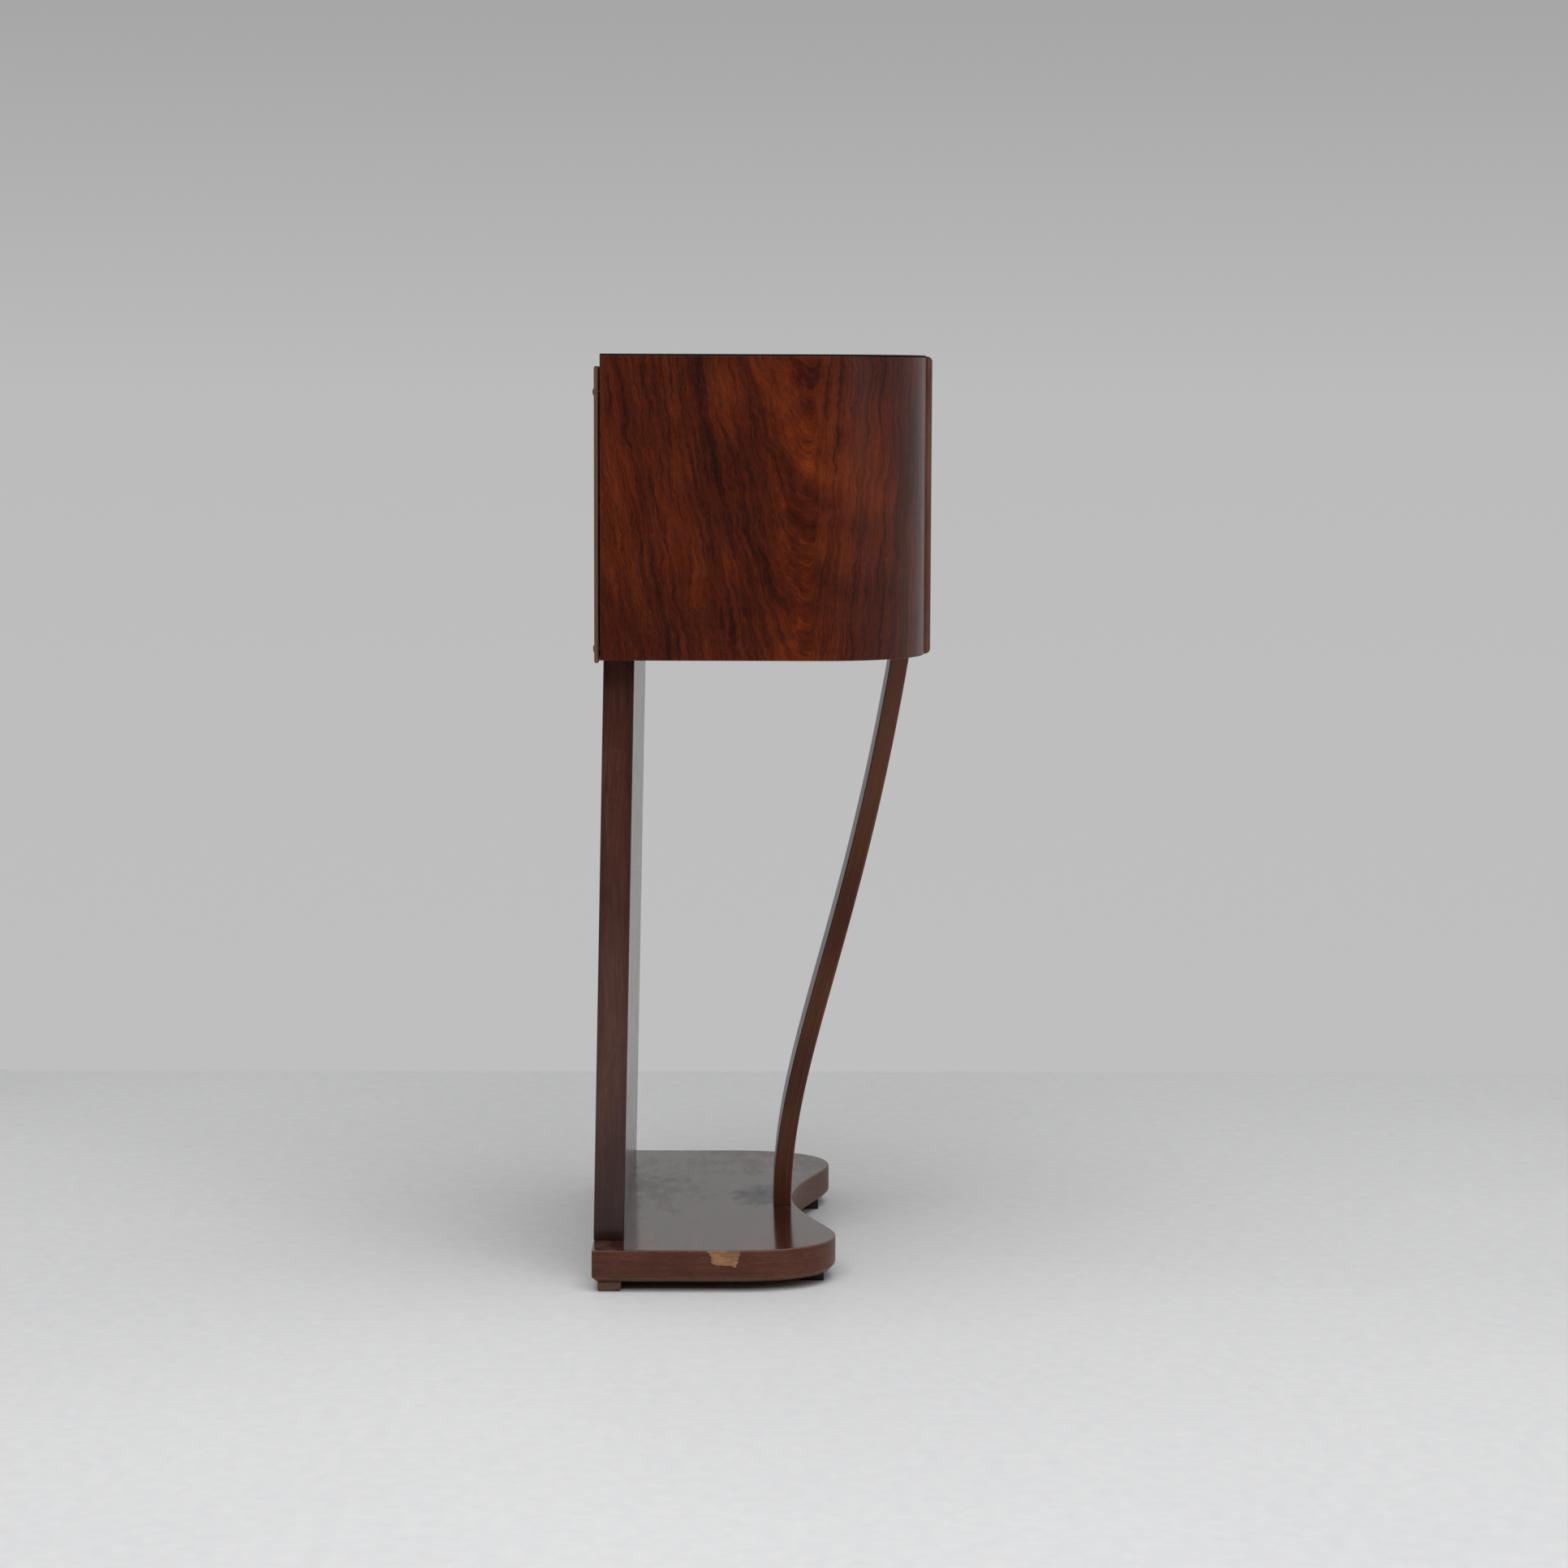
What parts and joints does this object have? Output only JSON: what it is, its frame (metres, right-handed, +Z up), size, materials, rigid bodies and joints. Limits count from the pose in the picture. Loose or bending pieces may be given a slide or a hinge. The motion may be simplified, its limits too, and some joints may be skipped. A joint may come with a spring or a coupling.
{
  "type": "console radio",
  "caption": "Console radio in dark veneered wood: a box cabinet with rounded front corners, carried by a rear panel and one bent front strut on a lobed plinth.",
  "frame": {"origin": "on the floor, under the centre of the whole radio", "axes": "+Z up, -Y towards the front with the grille and knobs, +X to the right of someone facing the front"},
  "size_m": [0.52, 0.364, 1],
  "materials": {
    "rosewood_veneer": "figured rosewood veneer under semi-gloss lacquer",
    "dark_wood": "dark stained wood, satin lacquer",
    "strut_wood": "bent beech laminate stained brown, satin lacquer",
    "edge_wood": "reddish veneered board, satin lacquer",
    "bare_wood": "unfinished softwood, dusty",
    "back_board": "pressed fibre board, matt brown",
    "grille_fabric": "woven speaker cloth, faded gold brown",
    "dark_moulding": "dark brown phenolic, polished",
    "brass": "lacquered brass, lightly tarnished",
    "plated_steel": "zinc plated sheet, dull",
    "aluminium": "spun aluminium, dull",
    "scale_card": "printed card, yellowed",
    "clear_glass": "clear glass",
    "cone_paper": "black pulp paper, matt",
    "dark_iron": "black painted iron, satin"
  },
  "bodies": {
    "cabinet": {"cabinet_wrap": "rosewood_veneer", "top_panel": "rosewood_veneer", "fascia_board": "rosewood_veneer", "rear_support_panel": "dark_wood", "bottom_panel": "dark_wood", "foot_front_left": "dark_wood", "foot_front_right": "dark_wood", "control_tray": "dark_wood", "front_strut": "strut_wood", "plinth": "edge_wood", "grille_bar_1": "edge_wood", "grille_bar_2": "edge_wood", "grille_bar_3": "edge_wood", "foot_rear_left": "bare_wood", "foot_rear_right": "bare_wood", "rear_batten_left": "bare_wood", "rear_batten_right": "bare_wood", "baffle_board": "bare_wood", "back_cover": "back_board", "grille_cloth": "grille_fabric", "volume_control": "dark_moulding", "waveband_switch": "dark_moulding", "mains_inlet": "dark_moulding", "aerial_sockets": "dark_moulding", "dial_bezel": "brass", "tuning_bush": "brass", "cover_screw_left_lower": "plated_steel", "cover_screw_left_upper": "plated_steel", "cover_screw_right_lower": "plated_steel", "cover_screw_right_upper": "plated_steel", "chassis_pan": "plated_steel", "tuning_frame": "aluminium", "coil_can_left": "aluminium", "coil_can_right": "aluminium", "smoothing_capacitor_left": "aluminium", "smoothing_capacitor_right": "aluminium", "dial_scale": "scale_card", "dial_glass": "clear_glass", "dial_lamp_left": "clear_glass", "dial_lamp_right": "clear_glass", "valve_1": "clear_glass", "valve_2": "clear_glass", "valve_3": "clear_glass", "valve_4": "clear_glass", "valve_5": "clear_glass", "speaker_basket": "dark_iron", "speaker_magnet": "dark_iron", "mains_transformer": "dark_iron", "output_transformer": "dark_iron"},
    "tuning_gang": {"tuning_rotor": "aluminium", "drive_disc": "brass", "dial_pointer": "dark_moulding"},
    "tuning_shaft": {"tuning_knob": "dark_moulding", "tuning_spindle": "brass"},
    "volume_shaft": {"volume_knob": "dark_moulding", "volume_spindle": "plated_steel"},
    "waveband_shaft": {"waveband_knob": "dark_moulding", "waveband_spindle": "plated_steel"},
    "cone_body": {"speaker_cone": "cone_paper"}
  },
  "joints": [
    {"name": "dial_turn", "type": "hinge", "parent": "cabinet", "child": "tuning_gang", "pos_m": [0, -0.12, 0.763], "axis": [0, 1, 0], "range_deg": [-85, 85]},
    {"name": "tuning_turn", "type": "hinge", "parent": "cabinet", "child": "tuning_shaft", "pos_m": [0, -0.165, 0.718], "axis": [0, 1, 0], "range_deg": [-549, 549]},
    {"name": "volume_turn", "type": "hinge", "parent": "cabinet", "child": "volume_shaft", "pos_m": [-0.07, -0.165, 0.718], "axis": [0, 1, 0], "range_deg": [-140, 140]},
    {"name": "waveband_turn", "type": "hinge", "parent": "cabinet", "child": "waveband_shaft", "pos_m": [0.07, -0.165, 0.718], "axis": [0, 1, 0], "range_deg": [-30, 30]},
    {"name": "cone_travel", "type": "slide", "parent": "cabinet", "child": "cone_body", "axis": [0, -1, 0], "range_m": [-0.0015, 0.0015], "stiffness_N_per_m": 1500}
  ],
  "couplings": [
    {"joint": "tuning_turn", "follows": "dial_turn", "ratio": -6.45}
  ]
}
